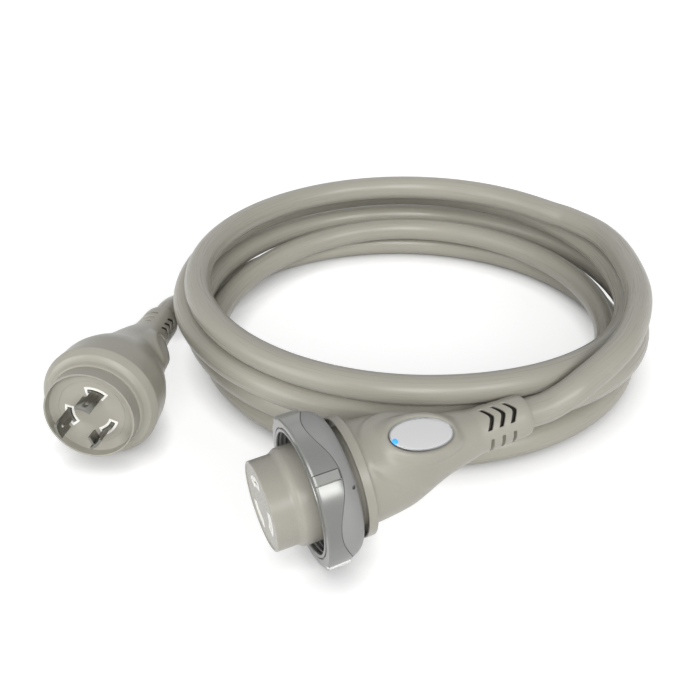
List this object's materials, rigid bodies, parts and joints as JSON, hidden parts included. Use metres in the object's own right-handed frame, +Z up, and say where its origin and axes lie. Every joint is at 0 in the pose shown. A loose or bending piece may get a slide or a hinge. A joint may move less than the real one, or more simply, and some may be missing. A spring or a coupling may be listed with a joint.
{
  "type": "shore power cord",
  "caption": "Coiled shore power cord with a locking connector, threaded lock ring and oval badge at one end and a locking blade plug at the other.",
  "frame": {"origin": "middle of the bounding box of the connector and the plug, on the surface that the cord lies on", "axes": "+X from the plug towards the connector's boot, +Y away from the two faces towards the far side of the coil, +Z up"},
  "size_m": [0.3769, 0.4152, 0.0777],
  "materials": {
    "pvc_grey": "satin",
    "nose_grey": "satin",
    "nylon_white": "gloss",
    "seal_rubber": "matte",
    "contact_brass": "satin",
    "blade_nickel": "satin",
    "ring_grey": "satin",
    "ring_silver": "satin metallic",
    "badge_white": "gloss",
    "led_blue": "gloss",
    "core_black": "satin",
    "core_white": "satin",
    "core_green": "satin",
    "jacket_grey": "satin"
  },
  "bodies": {
    "cord": {"connector_housing": "pvc_grey", "connector_nose": "nose_grey", "connector_insert": "nylon_white", "nose_gasket": "seal_rubber", "contact_line": "contact_brass", "contact_neutral": "contact_brass", "contact_ground": "contact_brass", "connector_core_line": "core_black", "connector_core_neutral": "core_white", "connector_core_ground": "core_green", "badge": "badge_white", "indicator_led": "led_blue", "plug_housing": "pvc_grey", "plug_nose": "nose_grey", "plug_insert": "nylon_white", "blade_line": "blade_nickel", "blade_neutral": "blade_nickel", "blade_ground": "blade_nickel", "plug_core_line": "core_black", "plug_core_neutral": "core_white", "plug_core_ground": "core_green", "cable_connector_lead": "jacket_grey", "cable_coil": "jacket_grey", "cable_plug_lead": "jacket_grey"},
    "ring": {"lock_ring": "ring_grey", "lock_ring_cover": "ring_silver"}
  },
  "joints": [
    {"name": "lock_ring_turn", "type": "hinge", "parent": "cord", "child": "ring", "pos_m": [0.02429, -0.07559, 0.03932], "axis": [-0.9151, -0.3922, -0.0941], "continuous": true}
  ]
}
